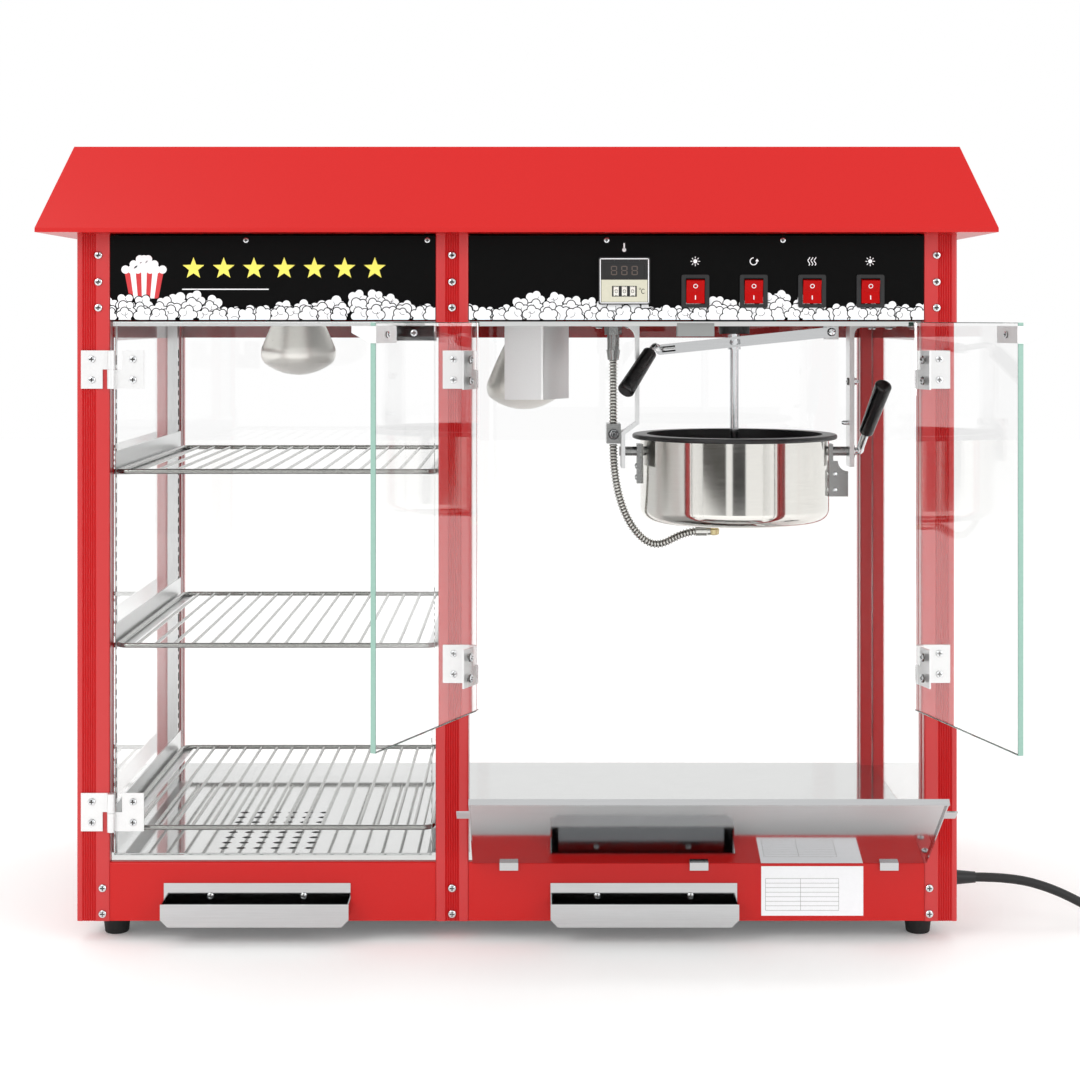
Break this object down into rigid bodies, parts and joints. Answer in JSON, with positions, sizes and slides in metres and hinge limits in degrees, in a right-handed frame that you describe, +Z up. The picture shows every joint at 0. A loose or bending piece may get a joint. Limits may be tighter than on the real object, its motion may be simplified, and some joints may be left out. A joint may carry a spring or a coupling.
{
  "type": "popcorn maker with warming cabinet",
  "caption": "Countertop popcorn maker with a red pitched roof, a glass cabinet with a tilting kettle, and a shelved warmer beside it.",
  "frame": {"origin": "on the ground under the middle of the cabinet", "axes": "+X to the user's right along the front, +Y to the back, +Z up"},
  "size_m": [1.1936, 0.6802, 0.771],
  "materials": {
    "red_paint": "gloss powder coat",
    "black_panel": "smooth satin",
    "stainless_steel": "polished sheet",
    "black_rubber": "matte",
    "clear_glass": "clear",
    "chromed_wire": "polished",
    "white_ceramic": "glazed",
    "lamp_glass": "silvered inside, frosted face",
    "motor_casting": "plain casting",
    "black_plastic": "fine moulded",
    "white_plastic": "moulded",
    "nickel_brass": "nickel plated",
    "conduit_steel": "galvanised strip",
    "element_steel": "heat-dulled tube",
    "red_plastic": "translucent key",
    "liner_coating": "dark non-stick coating"
  },
  "bodies": {
    "cabinet": {"posts": "red_paint", "base_pan": "stainless_steel", "wall_panels": "red_paint", "base_front_panels": "red_paint", "rubber_feet": "black_rubber", "ceiling_plate": "stainless_steel", "header_panels": "black_panel", "roof_shell": "red_paint", "fixed_glass": "clear_glass", "partition_panel": "stainless_steel", "warmer_floor": "stainless_steel", "popper_floor": "stainless_steel", "shelf_supports": "stainless_steel", "wire_shelves": "chromed_wire", "lamp_holders": "white_ceramic", "reflector_lamps": "lamp_glass", "lamp_shield": "stainless_steel", "stir_motor": "motor_casting", "shaft_bearing": "black_plastic", "ceiling_brackets": "stainless_steel", "detent_spring": "stainless_steel", "conduit_fittings": "nickel_brass", "upper_conduit": "conduit_steel", "controller_housing": "black_plastic", "switch_housings": "black_plastic", "magnet_catches": "white_plastic", "post_hinge_leaves": "stainless_steel", "warmer_heater": "element_steel", "cord_gland": "black_plastic", "mains_cord": "black_rubber", "cord_coil": "black_rubber", "mains_plug": "black_plastic"},
    "warmer_door": {"warmer_door_glass": "clear_glass", "warmer_door_fittings": "stainless_steel"},
    "left_door": {"left_door_glass": "clear_glass", "left_door_fittings": "stainless_steel"},
    "right_door": {"right_door_glass": "clear_glass", "right_door_fittings": "stainless_steel"},
    "serving_flap": {"serving_flap": "stainless_steel"},
    "water_drawer": {"water_drawer": "stainless_steel"},
    "crumb_drawer": {"crumb_drawer": "stainless_steel"},
    "kettle": {"kettle_pot": "stainless_steel", "kettle_liner": "liner_coating", "kettle_element": "element_steel", "kettle_brackets": "stainless_steel", "kettle_handle": "chromed_wire", "kettle_grip": "black_plastic", "lower_conduit": "conduit_steel"},
    "stirrer": {"stirrer": "stainless_steel"},
    "lift_collar": {"lift_collar": "stainless_steel"},
    "drive_shaft": {"drive_shaft": "stainless_steel"},
    "lift_lever": {"lift_lever": "stainless_steel", "lever_grip": "black_plastic"},
    "rocker_1": {"rocker_1": "red_plastic"},
    "rocker_2": {"rocker_2": "red_plastic"},
    "rocker_3": {"rocker_3": "red_plastic"},
    "rocker_4": {"rocker_4": "red_plastic"},
    "hundreds_wheel": {"hundreds_wheel": "white_plastic"},
    "tens_wheel": {"tens_wheel": "white_plastic"},
    "units_wheel": {"units_wheel": "white_plastic"}
  },
  "joints": [
    {"name": "warmer_door_hinge", "type": "hinge", "parent": "cabinet", "child": "warmer_door", "pos_m": [-0.3927, -0.219, 0.342], "axis": [0, 0, -1], "range_deg": [0, 115]},
    {"name": "left_door_hinge", "type": "hinge", "parent": "cabinet", "child": "left_door", "pos_m": [-0.0447, -0.219, 0.413], "axis": [0, 0, -1], "range_deg": [-113, 7]},
    {"name": "right_door_hinge", "type": "hinge", "parent": "cabinet", "child": "right_door", "pos_m": [0.3927, -0.219, 0.413], "axis": [0, 0, 1], "range_deg": [-104, 16]},
    {"name": "serving_flap_hinge", "type": "hinge", "parent": "cabinet", "child": "serving_flap", "pos_m": [0.174, -0.2154, 0.0774], "axis": [1, 0, 0], "range_deg": [-53, 0]},
    {"name": "water_drawer_slide", "type": "slide", "parent": "cabinet", "child": "water_drawer", "axis": [0, -1, 0], "range_m": [0, 0.25]},
    {"name": "crumb_drawer_slide", "type": "slide", "parent": "cabinet", "child": "crumb_drawer", "axis": [0, -1, 0], "range_m": [0, 0.25]},
    {"name": "kettle_tilt", "type": "hinge", "parent": "cabinet", "child": "kettle", "pos_m": [0.231, 0, 0.462], "axis": [1, 0, 0], "range_deg": [0, 72]},
    {"name": "stirrer_spin", "type": "hinge", "parent": "kettle", "child": "stirrer", "pos_m": [0.231, 0, 0.4], "axis": [0, 0, 1], "continuous": true},
    {"name": "lever_lift", "type": "hinge", "parent": "cabinet", "child": "lift_lever", "pos_m": [0.334, -0.0095, 0.59], "axis": [0, 1, 0], "range_deg": [-6.7, 0]},
    {"name": "shaft_lift", "type": "slide", "parent": "cabinet", "child": "lift_collar", "axis": [0, 0, 1], "range_m": [-0.0126, 0]},
    {"name": "shaft_spin", "type": "hinge", "parent": "lift_collar", "child": "drive_shaft", "pos_m": [0.231, 0, 0.58], "axis": [0, 0, 1], "continuous": true},
    {"name": "rocker_1_tip", "type": "hinge", "parent": "cabinet", "child": "rocker_1", "pos_m": [0.173, -0.212, 0.631], "axis": [-1, 0, 0], "range_deg": [0, 14]},
    {"name": "rocker_2_tip", "type": "hinge", "parent": "cabinet", "child": "rocker_2", "pos_m": [0.2296, -0.212, 0.631], "axis": [-1, 0, 0], "range_deg": [0, 14]},
    {"name": "rocker_3_tip", "type": "hinge", "parent": "cabinet", "child": "rocker_3", "pos_m": [0.2862, -0.212, 0.631], "axis": [-1, 0, 0], "range_deg": [0, 14]},
    {"name": "rocker_4_tip", "type": "hinge", "parent": "cabinet", "child": "rocker_4", "pos_m": [0.3428, -0.212, 0.631], "axis": [-1, 0, 0], "range_deg": [0, 14]},
    {"name": "hundreds_wheel_turn", "type": "hinge", "parent": "cabinet", "child": "hundreds_wheel", "pos_m": [0.096, -0.2108, 0.63088], "axis": [1, 0, 0], "continuous": true},
    {"name": "tens_wheel_turn", "type": "hinge", "parent": "cabinet", "child": "tens_wheel", "pos_m": [0.104, -0.2108, 0.63088], "axis": [1, 0, 0], "continuous": true},
    {"name": "units_wheel_turn", "type": "hinge", "parent": "cabinet", "child": "units_wheel", "pos_m": [0.112, -0.2108, 0.63088], "axis": [1, 0, 0], "continuous": true}
  ],
  "couplings": [
    {"joint": "shaft_lift", "follows": "lever_lift", "m_per_rad": 0.1059},
    {"joint": "stirrer_spin", "follows": "shaft_spin", "ratio": 1}
  ]
}
